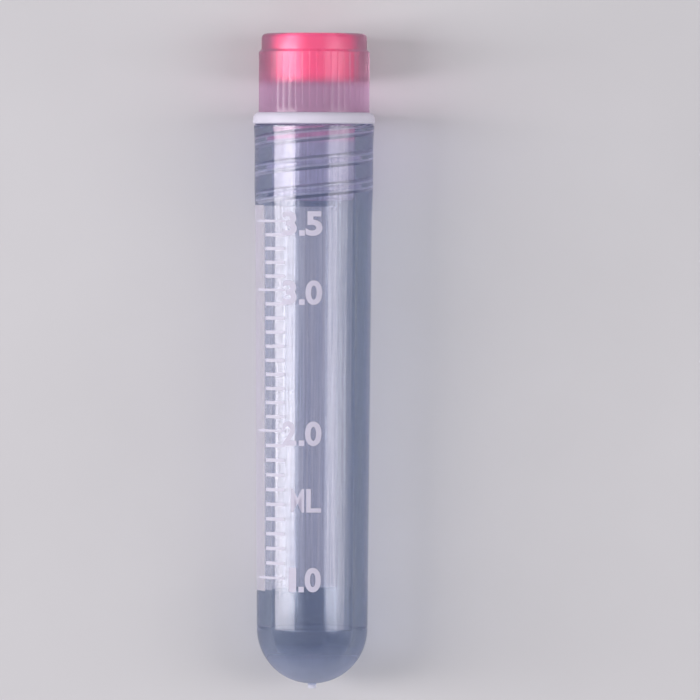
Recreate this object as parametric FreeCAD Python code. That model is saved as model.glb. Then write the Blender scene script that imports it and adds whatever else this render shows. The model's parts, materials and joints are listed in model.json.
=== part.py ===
import FreeCAD, Part
import math
import os

# Round-bottom cryogenic vial of the 4 mL class with an internal thread, closed, lying on its side.
#
# Pieces, one solid and one file each:
#   tube        moulded polypropylene tube with a threaded neck, a domed end and its gate nub
#   cap         moulded polypropylene screw cap: ribbed grip, recessed crown and threaded plug
#   gasket      silicone ring squeezed between the cap and the rim of the tube
#   cap_insert  coloured cup pressed into the crown of the cap
#
# Every piece is drawn upright about the Z axis, with height 0 at the tip of the gate nub and the
# scale side of the tube towards -Y. lay_down() then lays it along Y, cap towards +Y and scale side
# up, resting on the gasket and on the end of the tube. Lengths are in millimetres.

# ---- Driving dimensions ---------------------------------------------------------------------

# Outside of the tube. Stretches of the neck are measured down from the rim.
tube_length = 60.6
nub_radius = 0.45
nub_height = 0.5
nub_chamfer = 0.15
dome_radius = 5.95
body_top_radius = 6.25
neck_radius = 6.37
neck_depth = 7.0
swell_length = 3.4
rim_radius = 6.47
flare_length = 2.2
rim_chamfer = 0.2

# Inside of the tube. The bore tapers from the end of the threaded stretch to its round bottom.
floor_thickness = 1.5
bore_bottom_radius = 4.4
bore_radius = 4.5
threaded_depth = 9.1
mouth_chamfer = 0.25

# Thread, right-handed, one start. The groove is in the tube and the ridge is on the plug.
thread_pitch = 3.0
thread_depth = 0.7
groove_floor_width = 0.73
flank_angle = 28.0
groove_depth = 7.85
groove_end_angle = 180.0
thread_clearance = 0.12

# Gasket: a flat ring whose outer edge bulges out, widest near the rim of the tube.
gasket_thickness = 1.25
gasket_radius = 6.58
gasket_heel_height = 0.2
gasket_heel_inset = 0.13
gasket_shoulder_drop = 0.35
gasket_shoulder_inset = 0.1
gasket_top_inset = 0.45
gasket_clearance = 0.1

# Head of the cap: fluted skirt, then the narrower crown.
skirt_radius = 5.95
skirt_height = 6.75
crown_radius = 5.66
crown_height = 1.7
crown_round = 0.5
rib_count = 48
plain_band_height = 0.75
flute_mouth_width = 0.5
flute_floor_width = 0.2
flute_depth = 0.1

# Recess in the crown, and the insert in it.
recess_radius = 4.45
recess_depth = 5.3
insert_clearance = 0.03
insert_setback = 0.22
insert_wall = 0.9

# Plug of the cap, measured down from the underside of the head.
plug_length = 9.35
plug_chamfer = 0.25
plug_hollow_radius = 3.2
plug_web = 1.6
ridge_lead = 0.15
ridge_gap_under_gasket = 0.25

# ---- Derived dimensions ---------------------------------------------------------------------

dome_centre_height = nub_height + dome_radius
bore_centre_height = nub_height + floor_thickness + bore_bottom_radius
neck_height = tube_length - neck_depth
body_top_height = neck_height - swell_length
bore_full_height = tube_length - threaded_depth
groove_end_height = tube_length - groove_depth
groove_radius = bore_radius + thread_depth

gasket_top_height = tube_length + gasket_thickness
skirt_top_height = gasket_top_height + skirt_height
overall_length = skirt_top_height + crown_height
recess_floor_height = overall_length - recess_depth

plug_radius = bore_radius - thread_clearance
plug_end_height = gasket_top_height - plug_length
plug_hollow_height = recess_floor_height - plug_web
ridge_radius = groove_radius - thread_clearance
crown_flat_radius = crown_radius - crown_round

UP = FreeCAD.Vector(0, 0, 1)
ORIGIN = FreeCAD.Vector(0, 0, 0)


# ---- Drawing helpers ------------------------------------------------------------------------

def at(radius, height):
    """A point of a half section, drawn in the XZ plane."""
    return FreeCAD.Vector(radius, 0, height)


def round_about(centre, radius, start_angle, end_angle):
    """Circular arc of a half section, by its centre and its two angles in degrees."""
    points = []
    for angle in (start_angle, (start_angle + end_angle) / 2, end_angle):
        turn = math.radians(angle)
        points.append(at(centre[0] + radius * math.cos(turn), centre[1] + radius * math.sin(turn)))
    return Part.Arc(*points).toShape()


def turned(outline):
    """Solid of revolution about Z. The outline is points and arcs, joined by straight lines."""
    edges = []
    ends = []
    for piece in outline:
        if isinstance(piece, tuple):
            ends.append((at(*piece), at(*piece)))
        else:
            edges.append(piece)
            ends.append((piece.firstVertex(True).Point, piece.lastVertex(True).Point))
    for index, (_, leave) in enumerate(ends):
        arrive = ends[(index + 1) % len(ends)][0]
        if not leave.isEqual(arrive, 1e-6):
            edges.append(Part.makeLine(leave, arrive))
    face = Part.Face(Part.Wire(Part.__sortEdges__(edges)))
    return face.revolve(ORIGIN, UP, 360)


def drafted(bottom_radius, bottom_height, top_radius, top_height):
    """Long tapered bar, its wall ruled between two circles so that it meshes with few facets."""
    bottom = Part.Edge(Part.Circle(at(0, bottom_height), UP, bottom_radius))
    top = Part.Edge(Part.Circle(at(0, top_height), UP, top_radius))
    wall = Part.makeRuledSurface(bottom, top).Faces[0]
    ends = [Part.Face(Part.Wire(bottom)), Part.Face(Part.Wire(top))]
    return Part.Solid(Part.Shell([wall] + ends))


def groove_half_width(radius):
    """Half the axial width of the thread groove at a radius."""
    widening = (groove_radius - radius) * math.tan(math.radians(flank_angle))
    return groove_floor_width / 2 + widening


def thread_bar(inner_radius, outer_radius, gap, bottom_height, top_height):
    """Trapezoid bar wound along the thread between two heights, gap narrower each side."""
    inner = groove_half_width(inner_radius) - gap
    outer = groove_half_width(outer_radius) - gap
    section = Part.makePolygon([
        at(inner_radius, -inner),
        at(outer_radius, -outer),
        at(outer_radius, outer),
        at(inner_radius, inner),
        at(inner_radius, -inner),
    ])
    helix = Part.makeHelix(thread_pitch, top_height - bottom_height, outer_radius)
    bar = Part.Wire(helix.Edges).makePipeShell([section], True, True)
    start_angle = groove_end_angle + 360 * (bottom_height - groove_end_height) / thread_pitch
    bar.rotate(ORIGIN, UP, start_angle)
    bar.translate(at(0, bottom_height))
    return bar


# ---- Tube -----------------------------------------------------------------------------------

def tube_outside():
    nub_join = dome_centre_height - math.sqrt(dome_radius ** 2 - nub_radius ** 2)
    nub_angle = math.degrees(math.atan2(nub_join - dome_centre_height, nub_radius))
    end = turned([
        (0, 0),
        (nub_radius - nub_chamfer, 0),
        (nub_radius, nub_chamfer),
        round_about((0, dome_centre_height), dome_radius, nub_angle, 0),
        (0, dome_centre_height),
    ])
    body = drafted(dome_radius, dome_centre_height, body_top_radius, body_top_height)
    neck = turned([
        (0, body_top_height),
        (body_top_radius, body_top_height),
        (neck_radius, neck_height),
        (neck_radius, tube_length - flare_length),
        (rim_radius, tube_length - rim_chamfer),
        (rim_radius - rim_chamfer, tube_length),
        (0, tube_length),
    ])
    return end.fuse([body, neck])


def neck_pin():
    """What leaves the threaded neck open: a cylinder with the thread wound on it."""
    top = tube_length + thread_pitch
    pin = Part.makeCylinder(bore_radius, top - bore_full_height, at(0, bore_full_height))
    return pin.fuse(thread_bar(plug_radius, groove_radius, 0, groove_end_height, top))


def bore_pins():
    """What leaves the bore below the thread open: a long drafted pin and its round end."""
    shaft = drafted(bore_bottom_radius, bore_centre_height, bore_radius, bore_full_height)
    end = turned([
        round_about((0, bore_centre_height), bore_bottom_radius, -90, 0),
        (0, bore_centre_height),
    ])
    return [shaft, end]


def mouth_cone():
    """Chamfering cone for the mouth, running past both ends of the chamfer itself."""
    run_past = 2 * mouth_chamfer
    foot = tube_length - mouth_chamfer - run_past
    return turned([
        (0, foot),
        (bore_radius - run_past, foot),
        (bore_radius + mouth_chamfer + run_past, tube_length + run_past),
        (0, tube_length + run_past),
    ])


def make_tube():
    tube = tube_outside().cut(neck_pin())
    for pin in bore_pins():
        tube = tube.cut(pin)
    return tube.cut(mouth_cone())


# ---- Cap ------------------------------------------------------------------------------------

def cap_head():
    """Skirt, crown and plain hollow plug. The round of the crown is drawn as two flats."""
    shoulder_height = skirt_top_height - (skirt_radius - crown_radius)
    corner_cut = crown_round * (1 - math.sqrt(0.5))
    return turned([
        (0, recess_floor_height),
        (recess_radius, recess_floor_height),
        (recess_radius, overall_length),
        (crown_flat_radius, overall_length),
        (crown_radius - corner_cut, overall_length - corner_cut),
        (crown_radius, overall_length - crown_round),
        (crown_radius, skirt_top_height),
        (skirt_radius, shoulder_height),
        (skirt_radius, gasket_top_height),
        (plug_radius, gasket_top_height),
        (plug_radius, plug_end_height + plug_chamfer),
        (plug_radius - plug_chamfer, plug_end_height),
        (plug_hollow_radius, plug_end_height),
        (plug_hollow_radius, plug_hollow_height),
        (0, plug_hollow_height),
    ])


def grip_flutes():
    """Flutes that leave the fine ribs of the grip standing between them."""
    floor = skirt_radius - flute_depth
    clear = skirt_radius + flute_depth
    half_floor = flute_floor_width / 2
    half_clear = flute_mouth_width - half_floor
    bottom = gasket_top_height + plain_band_height
    section = Part.makePolygon([
        FreeCAD.Vector(floor, -half_floor, bottom),
        FreeCAD.Vector(clear, -half_clear, bottom),
        FreeCAD.Vector(clear, half_clear, bottom),
        FreeCAD.Vector(floor, half_floor, bottom),
        FreeCAD.Vector(floor, -half_floor, bottom),
    ])
    flutes = []
    for index in range(rib_count):
        flute = Part.Face(section).extrude(UP * skirt_height)
        flute.rotate(ORIGIN, UP, 360 * index / rib_count)
        flutes.append(flute)
    return flutes


def plug_ridge():
    """External thread, rooted inside the wall of the plug and starting just above its end."""
    foot = plug_radius - thread_clearance
    half_foot = groove_half_width(foot) - thread_clearance
    bottom = plug_end_height + ridge_lead + half_foot
    top = tube_length - ridge_gap_under_gasket - half_foot
    return thread_bar(foot, ridge_radius, thread_clearance, bottom, top)


def make_cap():
    return cap_head().cut(grip_flutes()).fuse(plug_ridge())


# ---- Gasket and insert ----------------------------------------------------------------------

def make_gasket():
    inner = plug_radius + gasket_clearance
    return turned([
        (inner, tube_length),
        (gasket_radius - gasket_heel_inset, tube_length),
        (gasket_radius, tube_length + gasket_heel_height),
        (gasket_radius - gasket_shoulder_inset, gasket_top_height - gasket_shoulder_drop),
        (gasket_radius - gasket_top_inset, gasket_top_height),
        (inner, gasket_top_height),
    ])


def make_insert():
    outer = recess_radius - insert_clearance
    inner = outer - insert_wall
    top = overall_length - insert_setback
    return turned([
        (inner, recess_floor_height),
        (outer, recess_floor_height),
        (outer, top),
        (0, top),
        (0, top - insert_wall),
        (inner, top - insert_wall),
    ])


# ---- Resting place --------------------------------------------------------------------------

def rest_tilt():
    """Angle by which the axis rises from the domed end to the gasket, both on the ground."""
    length = tube_length + gasket_heel_height - dome_centre_height
    reach = math.hypot(gasket_radius, length)
    return math.acos(dome_radius / reach) - math.atan2(length, gasket_radius)


def lay_down(shape):
    """Moves an upright piece to its resting place, origin under the middle of the vial."""
    tilt = rest_tilt()
    span = overall_length * math.cos(tilt) + crown_flat_radius * math.sin(tilt)
    height = dome_radius - dome_centre_height * math.sin(tilt)
    turn = FreeCAD.Rotation(FreeCAD.Vector(1, 0, 0), math.degrees(tilt) - 90)
    laid = shape.copy()
    laid.Placement = FreeCAD.Placement(FreeCAD.Vector(0, -span / 2, height), turn)
    return laid


def main():
    os.makedirs("parts", exist_ok=True)
    pieces = {
        "tube": make_tube(),
        "cap": make_cap(),
        "gasket": make_gasket(),
        "cap_insert": make_insert(),
    }
    for name, upright in pieces.items():
        if len(upright.Solids) != 1 or not upright.isValid():
            raise RuntimeError(name + " is not one valid solid")
        solid = upright.Solids[0]
        lay_down(solid).exportStep("parts/" + name + ".step")
        print(name, round(solid.Volume, 1), "mm3")
    print("rest tilt", round(math.degrees(rest_tilt()), 4), "degrees")


main()
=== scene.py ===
import json
import math

import bmesh
import bpy
from bpy.props import EnumProperty, FloatProperty, FloatVectorProperty, IntProperty, PointerProperty
from mathutils import Matrix, Vector


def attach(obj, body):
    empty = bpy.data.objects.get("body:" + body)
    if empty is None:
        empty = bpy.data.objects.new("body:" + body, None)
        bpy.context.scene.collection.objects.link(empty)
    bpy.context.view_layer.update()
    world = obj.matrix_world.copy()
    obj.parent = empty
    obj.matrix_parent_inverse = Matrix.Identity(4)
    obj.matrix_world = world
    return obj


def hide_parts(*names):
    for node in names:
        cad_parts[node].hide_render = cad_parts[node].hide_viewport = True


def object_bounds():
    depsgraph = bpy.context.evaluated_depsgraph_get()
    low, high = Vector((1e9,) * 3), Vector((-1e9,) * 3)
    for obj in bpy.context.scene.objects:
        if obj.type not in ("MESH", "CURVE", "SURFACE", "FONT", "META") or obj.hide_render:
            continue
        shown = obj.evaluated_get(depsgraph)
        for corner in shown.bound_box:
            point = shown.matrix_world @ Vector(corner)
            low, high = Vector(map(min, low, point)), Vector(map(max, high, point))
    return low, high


bl_info = {
    "name": "Cryovial",
    "version": (1, 0, 0),
    "blender": (4, 5, 0),
    "location": "3D View > Sidebar > Cryovial",
    "description": "Round-bottom cryogenic vial with an internal thread, closed, lying on its side",
    "category": "Object",
}

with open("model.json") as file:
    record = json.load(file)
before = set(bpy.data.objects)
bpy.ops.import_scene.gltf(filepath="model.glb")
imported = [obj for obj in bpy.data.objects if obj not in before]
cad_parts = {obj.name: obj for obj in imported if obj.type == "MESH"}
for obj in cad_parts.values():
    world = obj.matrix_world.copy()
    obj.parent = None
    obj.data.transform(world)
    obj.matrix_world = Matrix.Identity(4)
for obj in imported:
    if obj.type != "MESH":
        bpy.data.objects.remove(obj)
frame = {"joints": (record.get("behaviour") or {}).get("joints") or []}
cad_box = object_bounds()

MM = 0.001

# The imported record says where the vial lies: the turning joint of the cap sits on the vial's axis,
# at the top of the gasket, and its direction is the vial's own.
CAP_TURN = next(joint for joint in frame["joints"] if joint["name"] == "cap_turn")
AXIS = Vector(CAP_TURN["axis"]).normalized()
SEAT = Vector(CAP_TURN["pos_m"])


# ---- Sizes and colours ----------------------------------------------------------------------

def length(name, description, millimetres):
    return FloatProperty(
        name=name,
        description=description,
        default=millimetres * MM,
        precision=5,
        unit="LENGTH",
        subtype="DISTANCE",
    )


def turn(name, description, degrees):
    return FloatProperty(
        name=name,
        description=description,
        default=math.radians(degrees),
        unit="ROTATION",
        subtype="ANGLE",
    )


def from_hex(code):
    """An sRGB hex colour as the linear numbers that shaders and lamps take."""
    channels = []
    for start in (1, 3, 5):
        value = int(code[start:start + 2], 16) / 255
        channels.append(value / 12.92 if value <= 0.04045 else ((value + 0.055) / 1.055) ** 2.4)
    return tuple(channels)


def colour(name, description, code):
    return FloatVectorProperty(
        name=name,
        description=description,
        default=from_hex(code),
        size=3,
        min=0,
        max=1,
        subtype="COLOR",
    )


class CRYOVIAL_PG_tube(bpy.types.PropertyGroup):
    rim_height: length("Rim height", "Height of the rim over the tip of the gate nub", 60.6)
    nub_radius: length("Nub radius", "Radius of the gate nub", 0.45)
    nub_height: length("Nub height", "How far the gate nub stands out of the domed end", 0.5)
    nub_dimple: length("Nub dimple", "Depth of the mark where the gate broke off", 0.2)
    dome_radius: length("Dome radius", "Radius of the domed end", 5.95)
    witness: length("Witness line", "How deep the line where the two halves of the mould met is", 0.06)
    body_top_radius: length("Body radius", "Radius at the top of the drafted body", 6.25)
    neck_radius: length("Neck radius", "Radius of the swollen neck", 6.37)
    neck_depth: length("Neck depth", "Length of the neck, down from the rim", 7.0)
    swell_length: length("Swell length", "Length over which the body swells to the neck", 3.4)
    rim_radius: length("Rim radius", "Radius of the flared rim", 6.47)
    flare_length: length("Flare length", "Length of the flare below the rim", 2.2)
    rim_round: length("Rim rounding", "Rounding of the outer edge of the rim", 0.2)
    floor_thickness: length("Floor thickness", "Thickness of the domed end", 1.5)
    bore_bottom_radius: length("Lower bore radius", "Radius of the bore at its round bottom", 4.4)
    bore_radius: length("Bore radius", "Radius of the bore from the thread upwards", 4.5)
    threaded_depth: length("Threaded depth", "Depth of the straight bore, down from the rim", 9.1)
    mouth_round: length("Mouth chamfer", "Width of the chamfer at the mouth", 0.25)


class CRYOVIAL_PG_thread(bpy.types.PropertyGroup):
    pitch: length("Pitch", "Rise of the right-handed thread in one turn", 3.0)
    depth: length("Depth", "How deep the groove is cut into the tube", 0.7)
    floor_width: length("Groove floor", "Width of the floor of the groove", 0.73)
    flank: turn("Flank angle", "Lean of the sides of the groove", 28)
    crest_round: length("Crest rounding", "Rounding of the outer corners of the thread", 0.15)
    groove_depth: length("Groove end", "Depth of the lower end of the groove under the rim", 7.85)
    groove_angle: turn("Groove end direction", "Where the groove ends, from the right-hand side", 180)
    clearance: length("Clearance", "Gap between the thread of the plug and that of the tube", 0.12)
    lead: length("Lead", "Gap between the end of the plug and its thread", 0.15)
    gap_at_gasket: length("Gap at gasket", "Gap between the thread of the plug and the gasket", 0.25)


class CRYOVIAL_PG_gasket(bpy.types.PropertyGroup):
    thickness: length("Thickness", "Thickness of the squeezed gasket", 1.25)
    radius: length("Radius", "Radius at the widest point of its bulging edge", 6.58)
    heel_height: length("Heel height", "Height of the widest point over the rim", 0.2)
    heel_inset: length("Heel inset", "How far the lower edge stands back", 0.13)
    shoulder_drop: length("Shoulder drop", "Depth of the shoulder under the top face", 0.35)
    shoulder_inset: length("Shoulder inset", "How far the shoulder stands back", 0.1)
    top_inset: length("Top inset", "How far the top edge stands back", 0.45)
    clearance: length("Clearance", "Gap between the gasket and the plug", 0.1)


class CRYOVIAL_PG_cap(bpy.types.PropertyGroup):
    skirt_radius: length("Skirt radius", "Radius over the ribs of the grip", 5.95)
    skirt_height: length("Skirt height", "Height of the skirt over the gasket", 6.75)
    crown_radius: length("Crown radius", "Radius of the smooth crown", 5.66)
    crown_height: length("Crown height", "Height of the crown over the skirt", 1.7)
    crown_round: length("Crown rounding", "Rounding of the top edge of the crown", 0.5)
    ribs: IntProperty(name="Ribs", description="Number of ribs round the grip", default=48, min=12)
    rib_turn: turn("Rib turn", "Direction of the edge of one rib, from the right-hand side", 3.44)
    plain_band: length("Plain band", "Height of the plain band under the ribs", 0.75)
    flute_depth: length("Flute depth", "Depth of the flutes between the ribs", 0.045)
    recess_radius: length("Recess radius", "Radius of the recess for the insert", 4.45)
    recess_depth: length("Recess depth", "Depth of the recess for the insert", 5.3)
    recess_round: length("Recess chamfer", "Chamfer round the mouth of the recess", 0.12)
    plug_length: length("Plug length", "Length of the plug under the head", 9.35)
    plug_chamfer: length("Plug chamfer", "Chamfer at the end of the plug", 0.25)
    plug_hollow: length("Plug hollow radius", "Radius of the hollow in the plug", 3.2)
    plug_web: length("Plug web", "Thickness between the recess and the hollow", 1.6)
    insert_clearance: length("Insert clearance", "Gap round the insert", 0.03)
    insert_setback: length("Insert setback", "How far the insert sits under the crown", 0.22)
    insert_wall: length("Insert wall", "Wall thickness of the insert", 0.9)
    insert_round: length("Insert rounding", "Rounding of the top edge of the insert", 0.15)


class CRYOVIAL_PG_print(bpy.types.PropertyGroup):
    ink: length("Ink thickness", "How far the ink stands off the tube", 0.02)
    mark_3_5: length("Mark 3.5", "Height of the 3.5 mark over the tip of the nub", 50.21)
    mark_3: length("Mark 3.0", "Height of the 3.0 mark", 42.85)
    mark_2: length("Mark 2.0", "Height of the 2.0 mark", 27.8)
    mark_1: length("Mark 1.0", "Height of the 1.0 mark", 12.06)
    stroke: length("Stroke", "Width of a mark along the tube", 0.36)
    fine_stroke: length("Major stroke", "Width of the long marks along the tube", 0.27)
    mark_right: turn("Right end of marks", "Direction of the right ends, from the front", -29.0)
    mark_left: turn("Left end of marks", "Direction of the left ends of the short marks", -55.0)
    major_left: turn("Left end of long marks", "Direction of the left ends of the long marks", -72.0)
    letter_height: length("Letter height", "Height of the numbers", 2.62)
    letter_drop: length("Letter drop", "How far the numbers sit under their marks", 0.25)
    letter_right: turn("Right edge of numbers", "Direction of the right edge of the numbers", 8.9)
    digit_width: length("Digit width", "Width of a digit", 1.8)
    dot_size: length("Dot size", "Side of the square decimal point", 0.62)
    unit_height: length("Unit mark height", "Height of the middle of the unit mark", 20.45)
    panel_bottom: length("Panel bottom", "Height of the lower edge of the writing panel", 10.6)
    panel_top: length("Panel top", "Height of the upper edge of the writing panel", 51.9)
    panel_right: turn("Panel start", "Direction where the panel starts, left of the front", -57.2)
    panel_wrap: turn("Panel wrap", "Angle that the panel wraps round the tube", 155)


class CRYOVIAL_PG_colours(bpy.types.PropertyGroup):
    tube: colour("Tube haze", "Milkiness of the natural polypropylene", "#5C6C92")
    dome: colour("Dome haze", "Milkiness of the thick domed end", "#B6C0DA")
    # Painted sheen: this white haze on the thread stands in for the light its sides scatter and reflect; on the nub it
    # is plain white.
    painted_thread_sheen_and_nub_white: colour("Painted thread sheen, white nub", "White haze painted on the thread as pale lines for the light it scatters and reflects, and the white of the gate nub", "#F4F4FC")
    tube_tint: colour("Tube tint", "What the wall of the tube lets through", "#C4CFDC")
    neck_tint: colour("Neck tint", "What the wall of the neck lets through", "#C8CCD9")
    cap: colour("Cap haze", "Milkiness of the tinted polypropylene round the insert", "#A66F92")
    skirt: colour("Skirt haze", "Milkiness of the solid tinted polypropylene under the insert", "#CAA7C7")
    cap_tint: colour("Cap tint", "What a wall of tinted polypropylene lets through", "#D898B6")
    skirt_tint: colour("Skirt tint", "What the solid tinted polypropylene lets through", "#957C92")
    plug: colour("Plug haze", "Milkiness of the plug, away from the insert", "#DCD8EC")
    # Painted glow: the pink in the top of the plug stands in for the insert's light shining down through it.
    painted_insert_pink: colour("Painted insert glow", "Pink painted into the top of the plug for the light of the insert shining down into it", "#F6B4D2")
    gasket: colour("Gasket", "Silicone of the gasket", "#D2D0E0")
    insert: colour("Insert", "Polypropylene of the insert", "#FF6090")
    ink: colour("Ink", "Ink of the marks", "#CDCCDC")
    numbers: colour("Number ink", "Ink of the numbers, printed a little thinner", "#C8C6D8")
    panel: colour("Panel", "Ink of the writing panel", "#E6E4EC")
    floor: colour("Floor", "Studio floor", "#C9CACD")
    lamp: colour("Lamp", "Tint of the lamps", "#FFF8FB")


class CRYOVIAL_PG_stage(bpy.types.PropertyGroup):
    field: length("Field", "Width of the picture at the vial", 75.15)
    distance: length("Camera distance", "From the camera to the middle of the vial", 800)
    aim_right: length("Aim right", "How far right of the vial the camera aims", 3.95)
    aim_up: length("Aim up", "How far towards the cap of the middle the camera aims", 1.19)
    lean: turn("Lean", "How far the camera leans towards the cap", 0.6)
    roll: turn("Roll", "How far the vial is turned clockwise in the picture", 0.22)
    lamp_distance: length("Lamp distance", "From the lamps to the vial", 600)
    lamp_length: length("Lamp length", "Length of the three side lamps, along the vial", 160)
    key_angle: turn("Key angle", "Direction of the left lamp, from straight above", 59.5)
    key_width: length("Key width", "Width of the left lamp", 510)
    key_radiance: FloatProperty(name="Key", description="Brightness of the left lamp, 1 is white", default=12.2)
    fill_angle: turn("Fill angle", "Direction of the right lamp, from straight above", 50)
    fill_width: length("Fill width", "Width of the right lamp", 452)
    fill_radiance: FloatProperty(name="Fill", description="Brightness of the right lamp, 1 is white", default=5.7)
    side_angle: turn("Side angle", "Direction of the low right lamp, from straight above", 77)
    side_width: length("Side width", "Width of the low right lamp", 132)
    side_radiance: FloatProperty(name="Side", description="Brightness of the low right lamp, 1 is white", default=1.6)
    top_distance: length("Top lamp distance", "From the wide top lamp to the vial", 1000)
    top_width: length("Top lamp width", "Side of the wide top lamp, above the camera", 1200)
    top_radiance: FloatProperty(name="Top", description="Brightness of the top lamp, 1 is white", default=0.5)
    sky: FloatProperty(name="Sky", description="Brightness of the even light all round", default=0.31)
    backdrop: FloatProperty(name="Backdrop", description="Brightness of what shows beyond the floor", default=0.5)


class CRYOVIAL_PG_vial(bpy.types.PropertyGroup):
    tube: PointerProperty(type=CRYOVIAL_PG_tube)
    thread: PointerProperty(type=CRYOVIAL_PG_thread)
    gasket: PointerProperty(type=CRYOVIAL_PG_gasket)
    cap: PointerProperty(type=CRYOVIAL_PG_cap)
    print: PointerProperty(type=CRYOVIAL_PG_print)
    colours: PointerProperty(type=CRYOVIAL_PG_colours)
    stage: PointerProperty(type=CRYOVIAL_PG_stage)


# ---- Meshes ---------------------------------------------------------------------------------

UP = Vector((0, 0, 1))
ROUND_STEPS = 144


def lying(vial):
    """Lays a piece drawn upright, height 0 at the tip of the nub, front towards -Y, where it lies."""
    right = Vector((1, 0, 0))
    back = AXIS.cross(right)
    turned = Matrix((right, back, AXIS)).transposed().to_4x4()
    tip = SEAT - AXIS * (vial.tube.rim_height + vial.gasket.thickness)
    return Matrix.Translation(tip) @ turned


def draw(bm, moves):
    """Draws a half section from moves: (radius, height) is a straight line there, with a third
    number a line whose corner is rounded by it, and ("arc", radius, height, angle) a swing about
    that centre, counter-clockwise for a positive angle."""
    corners = {}
    last = None
    for move in moves:
        if move[0] == "arc":
            _, radius, height, angle = move
            swung = bmesh.ops.spin(
                bm,
                geom=[last],
                cent=(radius, 0, height),
                axis=(0, 1, 0),
                angle=-angle,
                steps=max(4, round(abs(math.degrees(angle)) / 4)),
            )
            last = next(part for part in swung["geom_last"] if isinstance(part, bmesh.types.BMVert))
            continue
        vert = bm.verts.new((move[0], 0, move[1]))
        if last is not None:
            bm.edges.new((last, vert))
        if len(move) > 2:
            corners.setdefault(move[2], []).append(vert)
        last = vert
    for size, verts in corners.items():
        bmesh.ops.bevel(
            bm,
            geom=verts,
            offset=size,
            offset_type="OFFSET",
            affect="VERTICES",
            segments=4,
            profile=0.5,
            material=-1,
        )


def lathe(bm, moves, steps=ROUND_STEPS):
    """Spins a half section into a closed solid about the upright axis."""
    draw(bm, moves)
    bmesh.ops.spin(
        bm,
        geom=bm.verts[:] + bm.edges[:],
        cent=(0, 0, 0),
        axis=UP,
        angle=2 * math.pi,
        steps=steps,
        use_merge=True,
    )
    bmesh.ops.remove_doubles(bm, verts=bm.verts[:], dist=0.001 * MM)
    bmesh.ops.recalc_face_normals(bm, faces=bm.faces[:])


def finish_piece(bm, name, body, materials, place, sharp=math.radians(40)):
    """Turns a bmesh into an object in its place, riding on its body, smooth between sharp edges."""
    mesh = bpy.data.meshes.new(name)
    bm.to_mesh(mesh)
    bm.free()
    for material in materials:
        mesh.materials.append(material)
    mesh.transform(place)
    mesh.shade_smooth()
    mesh.set_sharp_from_angle(angle=sharp)
    piece = bpy.data.objects.new(name, mesh)
    bpy.context.scene.collection.objects.link(piece)
    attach(piece, body)
    return piece


def groove_half_width(vial, radius):
    bottom = vial.tube.bore_radius + vial.thread.depth
    return vial.thread.floor_width / 2 + (bottom - radius) * math.tan(vial.thread.flank)


def thread_bar(vial, inner_radius, outer_radius, gap, bottom, top, steps_per_turn=96):
    """Trapezoid bar wound along the thread between two heights, gap narrower each side."""
    groove_end = vial.tube.rim_height - vial.thread.groove_depth
    inner = groove_half_width(vial, inner_radius) - gap
    outer = groove_half_width(vial, outer_radius) - gap
    bm = bmesh.new()
    corners = [
        bm.verts.new((inner_radius, 0, -inner)),
        bm.verts.new((outer_radius, 0, -outer)),
        bm.verts.new((outer_radius, 0, outer)),
        bm.verts.new((inner_radius, 0, inner)),
    ]
    bm.faces.new(corners)
    bmesh.ops.bevel(
        bm,
        geom=corners[1:3],
        offset=vial.thread.crest_round,
        offset_type="OFFSET",
        affect="VERTICES",
        segments=4,
        profile=0.5,
        material=-1,
    )
    start = vial.thread.groove_angle + 2 * math.pi * (bottom - groove_end) / vial.thread.pitch
    place = Matrix.Translation((0, 0, bottom)) @ Matrix.Rotation(start, 4, "Z")
    bmesh.ops.transform(bm, matrix=place, verts=bm.verts[:])
    turns = (top - bottom) / vial.thread.pitch
    steps = round(steps_per_turn * turns)
    wound = bmesh.ops.spin(
        bm,
        geom=bm.verts[:] + bm.edges[:],
        cent=(0, 0, 0),
        axis=UP,
        dvec=(0, 0, (top - bottom) / steps),
        angle=2 * math.pi * turns,
        steps=steps,
    )
    bmesh.ops.contextual_create(bm, geom=[e for e in wound["geom_last"] if isinstance(e, bmesh.types.BMEdge)])
    bmesh.ops.recalc_face_normals(bm, faces=bm.faces[:])
    return bm


def combine(bm, tool, operation):
    """Cuts a tool out of a bmesh or joins it on, and gives the result back as a new bmesh."""
    pieces = []
    for name, source in (("work", bm), ("tool", tool)):
        mesh = bpy.data.meshes.new(name)
        source.to_mesh(mesh)
        source.free()
        piece = bpy.data.objects.new(name, mesh)
        bpy.context.scene.collection.objects.link(piece)
        pieces.append(piece)
    work, cutter = pieces
    boolean = work.modifiers.new(operation.lower(), "BOOLEAN")
    boolean.operation = operation
    boolean.solver = "EXACT"
    boolean.object = cutter
    result = bmesh.new()
    result.from_object(work, bpy.context.evaluated_depsgraph_get())
    for piece in pieces:
        mesh = piece.data
        bpy.data.objects.remove(piece)
        bpy.data.meshes.remove(mesh)
    return result


def faces_out(face):
    """Whether a face of an upright turned piece looks away from the axis."""
    middle = face.calc_center_median()
    return face.normal.dot(Vector((middle.x, middle.y, 0)).normalized()) > 0.05


# ---- Materials ------------------------------------------------------------------------------

def add_node(tree, kind, sockets=None, **settings):
    """Adds a node, with its settings and with a value or a link for each socket given."""
    node = tree.nodes.new(kind)
    for name, value in settings.items():
        setattr(node, name, value)
    for name, value in (sockets or {}).items():
        if isinstance(value, bpy.types.NodeSocket):
            tree.links.new(value, node.inputs[name])
        else:
            node.inputs[name].default_value = value
    return node


def start_material(name):
    material = bpy.data.materials.new(name)
    material.use_nodes = True
    material.node_tree.nodes.clear()
    return material, material.node_tree


def rgba(values):
    return (*values, 1.0)


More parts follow.
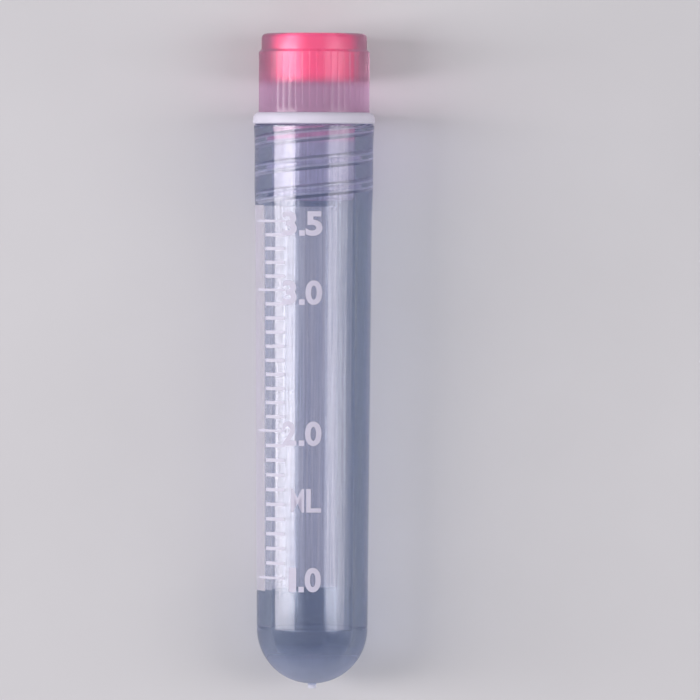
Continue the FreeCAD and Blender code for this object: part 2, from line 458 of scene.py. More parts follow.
def graded(tree, climbs, values):
    """A colour or number that goes from one value to the next as each climb goes from 0 to 1."""
    mixed = values[0]
    for climb, value in zip(climbs, values[1:]):
        if isinstance(value, tuple):
            step = add_node(tree, "ShaderNodeMix", {0: climb, 6: mixed, 7: value}, data_type="RGBA")
            mixed = step.outputs[2]
        else:
            step = add_node(tree, "ShaderNodeMix", {0: climb, 2: mixed, 3: value}, data_type="FLOAT")
            mixed = step.outputs[0]
    return mixed


def milky_plastic(vial, name, stages, roughness, grain, stretch, blur=None):
    """A see-through moulded plastic. Its surface hides a share of what is behind it behind its
    haze and tints the rest, and lets a share of the lamps' light through, so that what is inside
    is lit and the shadow stays soft. Half of the haze is lit from behind. Flow streaks fan out
    from the gate and run along the piece. Up the vial the plastic goes through stages, each
    (height, share, streaks, haze, tint, passed)."""
    material, tree = start_material(name)
    where = add_node(tree, "ShaderNodeTexCoord")
    from_seat = add_node(tree, "ShaderNodeVectorMath", {0: where.outputs["Object"], 1: SEAT}, operation="SUBTRACT")
    on_axis = add_node(tree, "ShaderNodeVectorMath", {0: from_seat.outputs[0], 1: AXIS}, operation="PROJECT")
    off_axis = add_node(tree, "ShaderNodeVectorMath", {0: from_seat.outputs[0], 1: on_axis.outputs[0]}, operation="SUBTRACT")
    facing = add_node(tree, "ShaderNodeVectorMath", {0: off_axis.outputs[0]}, operation="NORMALIZE")
    slowed = add_node(
        tree,
        "ShaderNodeVectorMath",
        {0: on_axis.outputs[0], "Scale": stretch / vial.tube.body_top_radius},
        operation="SCALE",
    )
    drawn = add_node(tree, "ShaderNodeVectorMath", {0: facing.outputs[0], 1: slowed.outputs[0]}, operation="ADD")
    flow = add_node(
        tree,
        "ShaderNodeTexNoise",
        {"Vector": drawn.outputs[0], "Scale": vial.tube.body_top_radius / grain, "Detail": 3.0},
    )
    heights, shares, streaks, hazes, tints, passes = zip(*stages)
    climbs = []
    if len(stages) > 1:
        along = add_node(
            tree,
            "ShaderNodeVectorMath",
            {0: from_seat.outputs[0], 1: AXIS},
            operation="DOT_PRODUCT",
        )
        seat = vial.tube.rim_height + vial.gasket.thickness
        for low, high in zip(heights, heights[1:]):
            climb = add_node(
                tree,
                "ShaderNodeMapRange",
                {"Value": along.outputs["Value"], "From Min": low - seat, "From Max": high - seat},
                interpolation_type="SMOOTHSTEP",
            )
            climbs.append(climb.outputs[0])
    milk_share = graded(tree, climbs, shares)
    milk_colour = graded(tree, climbs, [rgba(values) for values in hazes])
    tint = graded(tree, climbs, [rgba(values) for values in tints])
    passed = graded(tree, climbs, [rgba(from_hex(code)) for code in passes])
    swing = add_node(
        tree,
        "ShaderNodeMapRange",
        {"Value": flow.outputs["Fac"], "From Min": 0.3, "From Max": 0.7, "To Min": -1.0, "To Max": 1.0},
    )
    uneven = add_node(
        tree,
        "ShaderNodeMath",
        {0: swing.outputs[0], 1: graded(tree, climbs, streaks), 2: 1.0},
        operation="MULTIPLY_ADD",
    )
    amount = add_node(
        tree,
        "ShaderNodeMath",
        {0: uneven.outputs[0], 1: milk_share},
        operation="MULTIPLY",
        use_clamp=True,
    )
    cloud = add_node(
        tree,
        "ShaderNodeMix",
        {0: 1.0, 6: milk_colour, 7: uneven.outputs[0]},
        data_type="RGBA",
        blend_type="MULTIPLY",
    )
    gloss = add_node(tree, "ShaderNodeMath", {0: uneven.outputs[0], 1: roughness}, operation="MULTIPLY")
    clear = add_node(
        tree,
        "ShaderNodeBsdfPrincipled",
        {
            "Base Color": tint,
            "Roughness": blur or gloss.outputs[0],
            "IOR": 1.49,
            "Transmission Weight": 1.0,
        },
    )
    lit = add_node(
        tree,
        "ShaderNodeBsdfPrincipled",
        {"Base Color": cloud.outputs[2], "Roughness": gloss.outputs[0], "IOR": 1.49},
    )
    glow = add_node(tree, "ShaderNodeBsdfTranslucent", {"Color": cloud.outputs[2]})
    milk = add_node(tree, "ShaderNodeMixShader", {0: 0.5, 1: lit.outputs[0], 2: glow.outputs[0]})
    body = add_node(
        tree,
        "ShaderNodeMixShader",
        {0: amount.outputs[0], 1: clear.outputs[0], 2: milk.outputs[0]},
    )
    path = add_node(tree, "ShaderNodeLightPath")
    open_to_lamps = add_node(tree, "ShaderNodeBsdfTransparent", {"Color": passed})
    ended = add_node(
        tree,
        "ShaderNodeMixShader",
        {0: path.outputs["Is Shadow Ray"], 1: body.outputs[0], 2: open_to_lamps.outputs[0]},
    )
    add_node(tree, "ShaderNodeOutputMaterial", {"Surface": ended.outputs[0]})
    return material


def natural_polypropylene(vial):
    """Natural polypropylene, injection moulded: milky and a little blue, glossy, with fine flow streaks along the tube.
    The haze of a wall is drawn once, on its outer skin. The domed end is thicker, so it is milkier, the tip of the nub
    is white, and the neck is clearer."""
    colours = vial.colours
    return milky_plastic(
        vial,
        "natural_polypropylene_moulded",
        [
            (0.2 * MM, 0.75, 0.0, colours.painted_thread_sheen_and_nub_white, colours.tube_tint, "#989BA6"),
            (0.55 * MM, 0.75, 0.0, colours.dome, colours.tube_tint, "#989BA6"),
            (6 * MM, 0.33, 0.03, colours.tube, colours.tube_tint, "#AAADB7"),
            (14 * MM, 0.33, 0.35, colours.tube, colours.tube_tint, "#AAADB7"),
            (50 * MM, 0.33, 0.35, colours.tube, colours.tube_tint, "#AAADB7"),
            (55 * MM, 0.33, 0.25, colours.tube, colours.neck_tint, "#C0C3CC"),
        ],
        roughness=0.09,
        grain=0.3 * MM,
        stretch=0.02,
    )


def polished_polypropylene(vial):
    """The same natural polypropylene where a polished core pin formed it: clear and smooth."""
    return milky_plastic(
        vial,
        "natural_polypropylene_core_polished",
        [(0, 0.02, 0.2, vial.colours.tube, from_hex("#FEFEFF"), "#FBFBFD")],
        roughness=0.03,
        grain=0.5 * MM,
        stretch=0.03,
    )


def painted_sheen_polypropylene(vial, name, share):
    """The same natural polypropylene in the thread, with a white haze painted on, a little on its sides and more in its
    corners: a painted sheen that stands in for the light the thread scatters and reflects, so that the thread shows as
    fine pale lines."""
    return milky_plastic(
        vial,
        name,
        # Painted sheen: white haze that stands in for the light the thread scatters and reflects.
        [(0, share, 0.05, vial.colours.painted_thread_sheen_and_nub_white, from_hex("#FEFEFF"), "#FBFBFD")],
        roughness=0.04,
        grain=0.5 * MM,
        stretch=1,
    )


def tinted_polypropylene(vial):
    """Pink tinted polypropylene, injection moulded: milky, softly glossy on the grip, and rough
    enough inside to blur the insert. It is milkier and paler where it is solid, under the insert."""
    colours = vial.colours
    seat = vial.tube.rim_height + vial.gasket.thickness
    return milky_plastic(
        vial,
        "tinted_polypropylene_moulded",
        [
            (seat + 2.4 * MM, 0.8, 0.06, colours.skirt, colours.skirt_tint, "#F9F3F8"),
            (seat + 4.2 * MM, 0.22, 0.15, colours.cap, colours.cap_tint, "#F9F3F8"),
        ],
        roughness=0.15,
        grain=2 * MM,
        stretch=0.1,
        blur=0.36,
    )


def polished_tinted_polypropylene(vial):
    """The tinted polypropylene of the recess and the hollow, formed by polished core pins."""
    return milky_plastic(
        vial,
        "tinted_polypropylene_core_polished",
        [(0, 0.02, 0.2, vial.colours.cap, from_hex("#FFFDFE"), "#FEFBFC")],
        roughness=0.03,
        grain=2 * MM,
        stretch=1,
    )


def plug_polypropylene(vial):
    """The plug end of the tinted polypropylene: lightly milky, nearly natural at its end, with pink painted a few
    millimetres down into it from the insert, a painted glow that stands in for the insert's light shining down through
    the plug."""
    seat = vial.tube.rim_height + vial.gasket.thickness
    return milky_plastic(
        vial,
        "tinted_polypropylene_plug_painted_glow",
        [
            (seat - 3.4 * MM, 0.7, 0.1, vial.colours.plug, from_hex("#FBF9FB"), "#F7F5F8"),
            # Painted glow: pink that stands in for the insert's light shining down into the plug.
            (seat - 2.6 * MM, 0.9, 0.1, vial.colours.painted_insert_pink, from_hex("#FBF9FB"), "#F7F5F8"),
        ],
        roughness=0.1,
        grain=2 * MM,
        stretch=1,
    )


def opaque_material(name, values, roughness, grain, bump, **extra):
    """A solid material whose colour and gloss drift over a few grains, with a faint relief."""
    material, tree = start_material(name)
    where = add_node(tree, "ShaderNodeTexCoord")
    drift = add_node(tree, "ShaderNodeTexNoise", {"Vector": where.outputs["Object"], "Scale": 1 / grain, "Detail": 4.0})
    tint = add_node(
        tree,
        "ShaderNodeMix",
        {
            0: drift.outputs["Fac"],
            6: rgba([c * 0.93 for c in values]),
            7: rgba([min(1, c * 1.05) for c in values]),
        },
        data_type="RGBA",
    )
    gloss = add_node(
        tree,
        "ShaderNodeMapRange",
        {"Value": drift.outputs["Fac"], "To Min": roughness - 0.05, "To Max": roughness + 0.05},
    )
    relief = add_node(tree, "ShaderNodeBump", {"Height": drift.outputs["Fac"], "Strength": 0.3, "Distance": bump})
    surface = add_node(
        tree,
        "ShaderNodeBsdfPrincipled",
        {"Base Color": tint.outputs[2], "Roughness": gloss.outputs[0], "Normal": relief.outputs[0], **extra},
    )
    add_node(tree, "ShaderNodeOutputMaterial", {"Surface": surface.outputs[0]})
    return material


def screen_ink(name, values, thin, passed):
    """White ink, screen printed: matt, a little uneven from the mesh, and thin enough for some of
    the light that falls on it to come out on its other side."""
    material, tree = start_material(name)
    where = add_node(tree, "ShaderNodeTexCoord")
    mesh_mark = add_node(tree, "ShaderNodeTexNoise", {"Vector": where.outputs["Object"], "Scale": 1 / (0.3 * MM)})
    tint = add_node(
        tree,
        "ShaderNodeMix",
        {
            0: mesh_mark.outputs["Fac"],
            6: rgba([c * 0.93 for c in values]),
            7: rgba([min(1, c * 1.07) for c in values]),
        },
        data_type="RGBA",
    )
    gloss = add_node(tree, "ShaderNodeMapRange", {"Value": mesh_mark.outputs["Fac"], "To Min": 0.5, "To Max": 0.65})
    top = add_node(
        tree,
        "ShaderNodeBsdfPrincipled",
        {"Base Color": tint.outputs[2], "Roughness": gloss.outputs[0]},
    )
    through = add_node(tree, "ShaderNodeBsdfTranslucent", {"Color": rgba(values)})
    layer = add_node(tree, "ShaderNodeMixShader", {0: thin, 1: top.outputs[0], 2: through.outputs[0]})
    path = add_node(tree, "ShaderNodeLightPath")
    open_to_lamps = add_node(tree, "ShaderNodeBsdfTransparent", {"Color": rgba(from_hex(passed))})
    ended = add_node(
        tree,
        "ShaderNodeMixShader",
        {0: path.outputs["Is Shadow Ray"], 1: layer.outputs[0], 2: open_to_lamps.outputs[0]},
    )
    add_node(tree, "ShaderNodeOutputMaterial", {"Surface": ended.outputs[0]})
    return material


# ---- Pieces ---------------------------------------------------------------------------------

def print_panel(vial, bm):
    """Sorts the faces of the tube into skin, bore, writing panel and thread. The ink of the panel is part
    of the wall's own surface, because through the tube it is seen with no air behind the wall."""
    t = vial.tube
    p = vial.print
    for height in (p.panel_bottom, p.panel_top):
        parts = bm.verts[:] + bm.edges[:] + bm.faces[:]
        bmesh.ops.bisect_plane(bm, geom=parts, plane_co=(0, 0, height), plane_no=UP)
    for side in (p.panel_right, p.panel_right - p.panel_wrap):
        parts = bm.verts[:] + bm.edges[:] + bm.faces[:]
        bmesh.ops.bisect_plane(bm, geom=parts, plane_co=(0, 0, 0), plane_no=(math.cos(side), math.sin(side), 0))
    for face in bm.faces:
        middle = face.calc_center_median()
        turned = (p.panel_right - math.atan2(middle.x, -middle.y)) % (2 * math.pi)
        if not faces_out(face) and middle.z > t.nub_height + t.floor_thickness:
            deep = middle.xy.length > t.bore_radius + vial.thread.depth - vial.thread.crest_round
            leaning = abs(face.normal.z)
            if deep and 0.05 < leaning < 0.85:
                face.material_index = 3
            elif leaning > 0.85 and middle.z < t.rim_height - t.mouth_round:
                face.material_index = 4
            else:
                face.material_index = 1
        elif p.panel_bottom < middle.z < p.panel_top and turned < p.panel_wrap:
            face.material_index = 2
        else:
            face.material_index = 0


class CRYOVIAL_OT_tube(bpy.types.Operator):
    """Make the tube with its drafted body, swollen neck, thread groove, domed end and writing panel"""
    bl_idname = "cryovial.tube"
    bl_label = "Tube"

    def execute(self, context):
        vial = context.scene.cryovial
        t = vial.tube
        dome_centre = t.nub_height + t.dome_radius
        bore_centre = t.nub_height + t.floor_thickness + t.bore_bottom_radius
        neck = t.rim_height - t.neck_depth
        nub_join = dome_centre - math.sqrt(t.dome_radius ** 2 - t.nub_radius ** 2)
        start = math.atan2(nub_join - dome_centre, t.nub_radius)
        bm = bmesh.new()
        lathe(bm, [
            (0, t.nub_dimple),
            (0.45 * t.nub_radius, t.nub_dimple),
            (0.6 * t.nub_radius, 0, 0.06 * MM),
            (t.nub_radius, 0, 0.1 * MM),
            (t.nub_radius, nub_join),
            ("arc", 0, dome_centre, -start),
            (t.dome_radius - t.witness, dome_centre + 0.06 * MM),
            (t.dome_radius - t.witness, dome_centre + 0.12 * MM),
            (t.dome_radius + 0.004 * MM, dome_centre + 0.2 * MM),
            (t.body_top_radius, neck - t.swell_length),
            (t.neck_radius, neck),
            (t.neck_radius, t.rim_height - t.flare_length),
            (t.rim_radius, t.rim_height - t.rim_round),
            (t.rim_radius - t.rim_round, t.rim_height),
            (t.bore_radius + t.mouth_round, t.rim_height),
            (t.bore_radius, t.rim_height - t.mouth_round),
            (t.bore_radius, t.rim_height - t.threaded_depth),
            (t.bore_bottom_radius, bore_centre),
            ("arc", 0, bore_centre, -math.pi / 2),
        ])
        groove = thread_bar(
            vial,
            t.bore_radius - vial.thread.clearance,
            t.bore_radius + vial.thread.depth,
            0,
            t.rim_height - vial.thread.groove_depth,
            t.rim_height + vial.thread.pitch,
        )
        bm = combine(bm, groove, "DIFFERENCE")
        print_panel(vial, bm)
        ink = screen_ink("white_panel_ink_screen_printed", vial.colours.panel, 0.63, "#D8D8D8")
        # Painted sheen on the thread: pale lines for the light it scatters and reflects, more in the corners than on
        # the sides.
        corners = painted_sheen_polypropylene(vial, "natural_polypropylene_thread_corners_painted_pale", 0.65)
        sides = painted_sheen_polypropylene(vial, "natural_polypropylene_thread_sides_painted_pale", 0.24)
        finishes = [natural_polypropylene(vial), polished_polypropylene(vial), ink, corners, sides]
        tube = finish_piece(bm, "moulded_tube", "tube", finishes, lying(vial), math.radians(30))
        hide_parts("tube")
        return {"FINISHED"}


class CRYOVIAL_OT_gasket(bpy.types.Operator):
    """Make the squeezed silicone gasket"""
    bl_idname = "cryovial.gasket"
    bl_label = "Gasket"

    def execute(self, context):
        vial = context.scene.cryovial
        g = vial.gasket
        rim = vial.tube.rim_height
        top = rim + g.thickness
        inner = vial.tube.bore_radius - vial.thread.clearance + g.clearance
        bm = bmesh.new()
        lathe(bm, [
            (inner, rim + 0.005 * MM),
            (g.radius - g.heel_inset, rim + 0.005 * MM, 0.1 * MM),
            (g.radius, rim + g.heel_height, 0.15 * MM),
            (g.radius - g.shoulder_inset, top - g.shoulder_drop, 0.18 * MM),
            (g.radius - g.top_inset, top - 0.005 * MM, 0.1 * MM),
            (inner, top - 0.005 * MM),
            (inner, rim + 0.005 * MM),
        ])
        silicone = opaque_material("silicone_moulded", vial.colours.gasket, 0.4, 1.2 * MM, 0.02 * MM, **{"IOR": 1.41})
        gasket = finish_piece(bm, "silicone_gasket", "gasket", [silicone], lying(vial), math.radians(60))
        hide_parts("gasket")
        return {"FINISHED"}


class CRYOVIAL_OT_cap(bpy.types.Operator):
    """Make the screw cap with its ribbed grip, recessed crown and threaded plug"""
    bl_idname = "cryovial.cap"
    bl_label = "Cap"

    def execute(self, context):
        vial = context.scene.cryovial
        c = vial.cap
        seat = vial.tube.rim_height + vial.gasket.thickness
        skirt_top = seat + c.skirt_height
        top = skirt_top + c.crown_height
        floor = top - c.recess_depth
        shoulder = skirt_top - (c.skirt_radius - c.crown_radius)
        plug_radius = vial.tube.bore_radius - vial.thread.clearance
        plug_end = seat - c.plug_length
        flute_end = seat + c.plain_band
        bm = bmesh.new()
        draw(bm, [
            (0, floor),
            (c.recess_radius, floor),
            (c.recess_radius, top - c.recess_round),
            (c.recess_radius + c.recess_round, top),
            (c.crown_radius, top, c.crown_round),
            (c.crown_radius, skirt_top),
            (c.skirt_radius, shoulder),
            (c.skirt_radius, flute_end + 0.12 * MM),
            (c.skirt_radius, flute_end),
            (c.skirt_radius, seat),
            (plug_radius, seat),
            (plug_radius, plug_end + c.plug_chamfer),
            (plug_radius - c.plug_chamfer, plug_end),
            (c.plug_hollow, plug_end),
            (c.plug_hollow, floor - c.plug_web),
            (0, floor - c.plug_web),
        ])
        sector = 2 * math.pi / c.ribs
        bmesh.ops.spin(bm, geom=bm.verts[:] + bm.edges[:], cent=(0, 0, 0), axis=UP, angle=sector, steps=16)
        near = 0.001 * MM
        for vert in bm.verts:
            on_skirt = abs(vert.co.xy.length - c.skirt_radius) < near
            if on_skirt and vert.co.z > flute_end + near:
                turned = math.atan2(vert.co.y, vert.co.x) / sector
                hollow = c.flute_depth * min(turned / 0.8125, (1 - turned) / 0.1875)
                vert.co.xy *= 1 - hollow / c.skirt_radius
        bmesh.ops.rotate(bm, cent=(0, 0, 0), matrix=Matrix.Rotation(c.rib_turn, 3, "Z"), verts=bm.verts[:])
        bmesh.ops.spin(
            bm,
            geom=bm.verts[:] + bm.edges[:] + bm.faces[:],
            cent=(0, 0, 0),
            axis=UP,
            angle=2 * math.pi - sector,
            steps=c.ribs - 1,
            use_duplicate=True,
        )
        bmesh.ops.remove_doubles(bm, verts=bm.verts[:], dist=near)
        bmesh.ops.recalc_face_normals(bm, faces=bm.faces[:])
        foot = plug_radius - vial.thread.clearance
        half_foot = groove_half_width(vial, foot) - vial.thread.clearance
        ridge = thread_bar(
            vial,
            foot,
            vial.tube.bore_radius + vial.thread.depth - vial.thread.clearance,
            vial.thread.clearance,
            plug_end + vial.thread.lead + half_foot,
            vial.tube.rim_height - vial.thread.gap_at_gasket - half_foot,
        )
        bm = combine(bm, ridge, "UNION")
        for face in bm.faces:
            middle = face.calc_center_median()
            if middle.z < seat - near:
                face.material_index = 2 if faces_out(face) else 1
            elif faces_out(face) or (face.normal.z > 0.5 and middle.xy.length > c.recess_radius):
                face.material_index = 0
            else:
                face.material_index = 1
        plastics = [tinted_polypropylene(vial), polished_tinted_polypropylene(vial), plug_polypropylene(vial)]
        cap = finish_piece(bm, "screw_cap", "cap", plastics, lying(vial), math.radians(30))
        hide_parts("cap")
        return {"FINISHED"}


class CRYOVIAL_OT_insert(bpy.types.Operator):
    """Make the coloured insert in the crown of the cap"""
    bl_idname = "cryovial.insert"
    bl_label = "Cap insert"

    def execute(self, context):
        vial = context.scene.cryovial
        c = vial.cap
        top = vial.tube.rim_height + vial.gasket.thickness + c.skirt_height + c.crown_height
        floor = top - c.recess_depth
        outer = c.recess_radius - c.insert_clearance
        roof = top - c.insert_setback
        bm = bmesh.new()
        lathe(bm, [
            (outer - c.insert_wall, floor + 0.005 * MM),
            (outer, floor + 0.005 * MM),
            (outer, roof, c.insert_round),
            (0, roof),
            (0, roof - c.insert_wall),
            (outer - c.insert_wall, roof - c.insert_wall),
            (outer - c.insert_wall, floor + 0.005 * MM),
        ])
        under_skin = {"Subsurface Weight": 0.5, "Subsurface Radius": (1.0, 0.5, 0.6), "Subsurface Scale": 2 * MM}
        plastic = opaque_material(
            "coloured_polypropylene_moulded",
            vial.colours.insert,
            0.35,
            2 * MM,
            0.01 * MM,
            **{"IOR": 1.49, **under_skin},
        )
        insert = finish_piece(bm, "colour_insert", "cap", [plastic], lying(vial), math.radians(50))
        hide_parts("cap_insert")
        return {"FINISHED"}


# ---- Print ----------------------------------------------------------------------------------

def wall_radius(vial, height):
    """Outer radius of the body or the swelling under the neck at a height."""
    t = vial.tube
    foot = t.nub_height + t.dome_radius
    neck = t.rim_height - t.neck_depth
    head = neck - t.swell_length
    if height < head:
        return t.dome_radius + (t.body_top_radius - t.dome_radius) * (height - foot) / (head - foot)
    return t.body_top_radius + (t.neck_radius - t.body_top_radius) * (height - head) / (neck - head)


def wrap(vial, bm):
    """Wraps a flat print round the body: x runs round it from the front, z is the height."""
    for vert in bm.verts:
        radius = wall_radius(vial, vert.co.z) + vial.print.ink
        angle = vert.co.x / vial.tube.body_top_radius
        vert.co.x = radius * math.sin(angle)
        vert.co.y = -radius * math.cos(angle)


def patch(bm, left, right, bottom, top, columns):
    """A flat print of a few columns, between two directions and two heights."""
    made = bmesh.ops.create_grid(bm, x_segments=columns, y_segments=1, size=0.5)
    place = Matrix.Translation(((left + right) / 2, 0, (bottom + top) / 2))
    lie = Matrix.Rotation(math.pi / 2, 4, "X")
    size = Matrix.Diagonal((right - left, 1, top - bottom, 1))
    bmesh.ops.transform(bm, matrix=place @ size @ lie, verts=made["verts"])


def finish_print(vial, bm, name, material):
    wrap(vial, bm)
    bmesh.ops.recalc_face_normals(bm, faces=bm.faces[:])
    return finish_piece(bm, name, "tube", [material], lying(vial), math.radians(30))


def glyph(context, bm, letter, left, right, base, height, weight=0.035):
    """A bold letter of the built-in font, stretched to fill its box on the flat print."""
    curve = bpy.data.curves.new(letter, "FONT")
    curve.body = letter
    curve.size = 1
    curve.offset = weight
    curve.resolution_u = 6
    curve.fill_mode = "FRONT"
    text = bpy.data.objects.new(letter, curve)
    context.scene.collection.objects.link(text)
    flat = bpy.data.meshes.new_from_object(text.evaluated_get(context.evaluated_depsgraph_get()))
    bpy.data.objects.remove(text)
    low = Vector((min(v.co.x for v in flat.vertices), min(v.co.y for v in flat.vertices), 0))
    high = Vector((max(v.co.x for v in flat.vertices), max(v.co.y for v in flat.vertices), 0))
    stretch = Matrix.Diagonal(((right - left) / (high.x - low.x), height / (high.y - low.y), 1, 1))
    stand = Matrix.Rotation(math.pi / 2, 4, "X")
    flat.transform(Matrix.Translation((left, 0, base)) @ stand @ stretch @ Matrix.Translation(-low))
    bm.from_mesh(flat)
    bpy.data.meshes.remove(flat)


class CRYOVIAL_OT_marks(bpy.types.Operator):
    """Print the volume marks on the front left of the tube"""
    bl_idname = "cryovial.marks"
    bl_label = "Volume marks"

    def execute(self, context):
        vial = context.scene.cryovial
        p = vial.print
        around = vial.tube.body_top_radius
        right = p.mark_right * around
        bm = bmesh.new()
        majors = [(p.mark_3_5, p.mark_3, 5), (p.mark_3, p.mark_2, 10), (p.mark_2, p.mark_1, 10)]
        for upper, lower, steps in majors:
            patch(bm, p.major_left * around, right, upper - p.fine_stroke / 2, upper + p.fine_stroke / 2, 12)
            for step in range(1, steps):
                height = upper + (lower - upper) * step / steps
                patch(bm, p.mark_left * around, right, height - p.stroke / 2, height + p.stroke / 2, 8)
        patch(bm, p.major_left * around, right, p.mark_1 - p.fine_stroke / 2, p.mark_1 + p.fine_stroke / 2, 12)
        ink = screen_ink("white_mark_ink_screen_printed", vial.colours.ink, 0.1, "#959595")
        finish_print(vial, bm, "volume_marks", ink)
        return {"FINISHED"}


class CRYOVIAL_OT_numbers(bpy.types.Operator):
    """Print the numbers and the unit beside the marks"""
    bl_idname = "cryovial.numbers"
    bl_label = "Numbers"

    def execute(self, context):
        vial = context.scene.cryovial
        p = vial.print
        right = p.letter_right * vial.tube.body_top_radius
        dot_right = right - p.digit_width - 0.08 * MM
        first_right = dot_right - p.dot_size - 0.27 * MM
        rows = [
            ("3", "5", p.mark_3_5 - p.letter_drop),
            ("3", "0", p.mark_3 - p.letter_drop),
            ("2", "0", p.mark_2 - p.letter_drop),
            ("1", "0", p.mark_1 - p.letter_drop + 0.12 * MM),
        ]
        bm = bmesh.new()
        for first, last, middle in rows:
            base = middle - p.letter_height / 2
            first_width = p.digit_width * (0.5 if first == "1" else 0.95)
            glyph(context, bm, first, first_right - first_width, first_right, base, p.letter_height)
            patch(bm, dot_right - p.dot_size, dot_right, base, base + 0.95 * p.dot_size, 3)
            glyph(context, bm, last, right - p.digit_width, right, base, p.letter_height)
        base = p.unit_height - p.letter_height / 2
        unit_gap = 0.22 * MM
        glyph(context, bm, "L", right - 0.92 * p.digit_width, right, base, 0.96 * p.letter_height, 0.02)
        m_right = right - 0.92 * p.digit_width - unit_gap
        glyph(context, bm, "M", m_right - 0.84 * p.digit_width, m_right, base, 0.96 * p.letter_height, 0.008)
        width = 0.2 * MM
        count = round(8 * MM / width)
        for index in range(-count, count):
            bmesh.ops.bisect_plane(
                bm,
                geom=bm.verts[:] + bm.edges[:] + bm.faces[:],
                plane_co=(index * width, 0, 0),
                plane_no=(1, 0, 0),
            )
        ink = screen_ink("white_number_ink_screen_printed", vial.colours.numbers, 0.1, "#959595")
        finish_print(vial, bm, "volume_numbers", ink)
        return {"FINISHED"}


# ---- Stage ----------------------------------------------------------------------------------

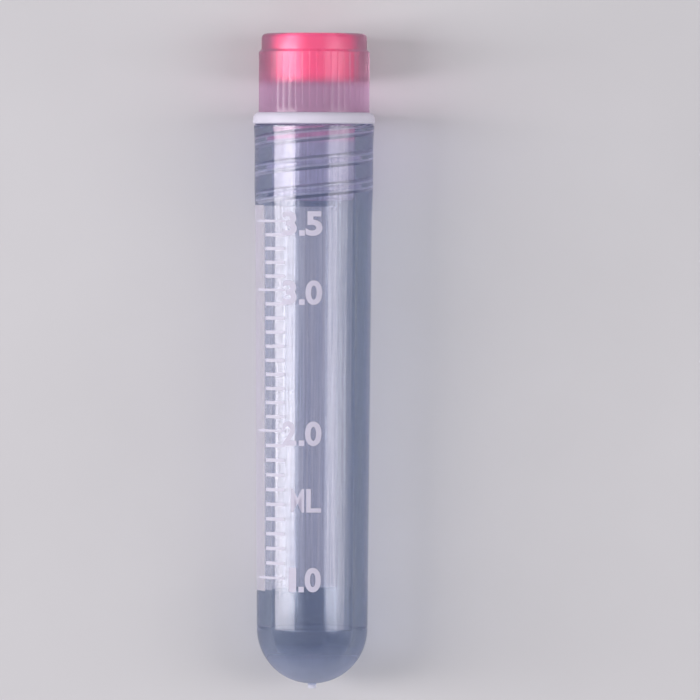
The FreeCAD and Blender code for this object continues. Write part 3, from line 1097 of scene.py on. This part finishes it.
class CRYOVIAL_OT_stage(bpy.types.Operator):
    """Make the floor, the lamps, the even light all round and the camera"""
    bl_idname = "cryovial.stage"
    bl_label = "Stage"

    def execute(self, context):
        vial = context.scene.cryovial
        s = vial.stage
        scene = context.scene
        scene.view_settings.view_transform = "Standard"

        bm = bmesh.new()
        bmesh.ops.create_grid(bm, x_segments=4, y_segments=4, size=2.0)
        mesh = bpy.data.meshes.new("studio_floor")
        bm.to_mesh(mesh)
        bm.free()
        # Seamless paper has no gloss, so the floor stays even when it is seen against a lamp.
        paper = opaque_material(
            "paper_floor",
            vial.colours.floor,
            0.9,
            30 * MM,
            0.01 * MM,
            **{"Specular IOR Level": 0.0},
        )
        mesh.materials.append(paper)
        floor = bpy.data.objects.new("studio_floor", mesh)
        scene.collection.objects.link(floor)

        world = bpy.data.worlds.new("even_light")
        world.use_nodes = True
        tree = world.node_tree
        tree.nodes.clear()
        path = add_node(tree, "ShaderNodeLightPath")
        lit = add_node(tree, "ShaderNodeBackground", {"Color": (1, 1, 1, 1), "Strength": s.sky})
        seen = add_node(tree, "ShaderNodeBackground", {"Color": rgba(vial.colours.floor), "Strength": s.backdrop})
        shown = path.outputs["Is Camera Ray"]
        for kind in ("Is Glossy Ray", "Is Transmission Ray"):
            both = add_node(tree, "ShaderNodeMath", {0: shown, 1: path.outputs[kind]}, operation="MAXIMUM")
            shown = both.outputs[0]
        mixed = add_node(tree, "ShaderNodeMixShader", {0: shown, 1: lit.outputs[0], 2: seen.outputs[0]})
        add_node(tree, "ShaderNodeOutputWorld", {"Surface": mixed.outputs[0]})
        scene.world = world

        middle = (cad_box[0] + cad_box[1]) / 2
        lamps = [
            ("key_lamp", -s.key_angle, s.lamp_distance, s.key_width, s.lamp_length, s.key_radiance),
            ("fill_lamp", s.fill_angle, s.lamp_distance, s.fill_width, s.lamp_length, s.fill_radiance),
            ("side_lamp", s.side_angle, s.lamp_distance, s.side_width, s.lamp_length, s.side_radiance),
            ("top_lamp", 0.0, s.top_distance, s.top_width, s.top_width, s.top_radiance),
        ]
        for name, angle, distance, width, long, radiance in lamps:
            lamp = bpy.data.lights.new(name, "AREA")
            lamp.shape = "RECTANGLE"
            lamp.size = width
            lamp.size_y = long
            lamp.color = vial.colours.lamp
            lamp.energy = radiance * math.pi * width * long
            holder = bpy.data.objects.new(name, lamp)
            scene.collection.objects.link(holder)
            turned = Matrix.Rotation(angle, 4, "Y")
            holder.matrix_world = Matrix.Translation(middle) @ turned @ Matrix.Translation((0, 0, distance))

        camera = bpy.data.cameras.new("camera")
        camera.sensor_width = 36
        camera.lens = camera.sensor_width * s.distance / s.field
        camera.clip_start = 0.01
        eye = bpy.data.objects.new("camera", camera)
        scene.collection.objects.link(eye)
        aim = Matrix.Translation(middle + Vector((s.aim_right, s.aim_up, 0)))
        leaning = Matrix.Rotation(-s.lean, 4, "X")
        rolled = Matrix.Rotation(s.roll, 4, "Z")
        eye.matrix_world = aim @ leaning @ Matrix.Translation((0, 0, s.distance)) @ rolled
        scene.camera = eye
        return {"FINISHED"}


# ---- Panel and registration -----------------------------------------------------------------

OPERATORS = (
    CRYOVIAL_OT_tube,
    CRYOVIAL_OT_gasket,
    CRYOVIAL_OT_cap,
    CRYOVIAL_OT_insert,
    CRYOVIAL_OT_marks,
    CRYOVIAL_OT_numbers,
    CRYOVIAL_OT_stage,
)


class CRYOVIAL_PT_panel(bpy.types.Panel):
    """Lists the pieces of the vial and their sizes"""
    bl_label = "Cryovial"
    bl_idname = "CRYOVIAL_PT_panel"
    bl_space_type = "VIEW_3D"
    bl_region_type = "UI"
    bl_category = "Cryovial"

    def draw(self, context):
        vial = context.scene.cryovial
        for operator in OPERATORS:
            self.layout.operator(operator.bl_idname)
        for group in (vial.tube, vial.thread, vial.gasket, vial.cap, vial.print, vial.colours, vial.stage):
            column = self.layout.column()
            for name in group.__annotations__:
                column.prop(group, name)


CLASSES = (
    CRYOVIAL_PG_tube,
    CRYOVIAL_PG_thread,
    CRYOVIAL_PG_gasket,
    CRYOVIAL_PG_cap,
    CRYOVIAL_PG_print,
    CRYOVIAL_PG_colours,
    CRYOVIAL_PG_stage,
    CRYOVIAL_PG_vial,
    *OPERATORS,
    CRYOVIAL_PT_panel,
)


def register():
    for item in CLASSES:
        bpy.utils.register_class(item)
    bpy.types.Scene.cryovial = PointerProperty(type=CRYOVIAL_PG_vial)


def unregister():
    del bpy.types.Scene.cryovial
    for item in reversed(CLASSES):
        bpy.utils.unregister_class(item)


def main():
    register()
    bpy.ops.cryovial.tube()
    bpy.ops.cryovial.gasket()
    bpy.ops.cryovial.cap()
    bpy.ops.cryovial.insert()
    bpy.ops.cryovial.marks()
    bpy.ops.cryovial.numbers()
    bpy.ops.cryovial.stage()


if __name__ == "__main__":
    main()
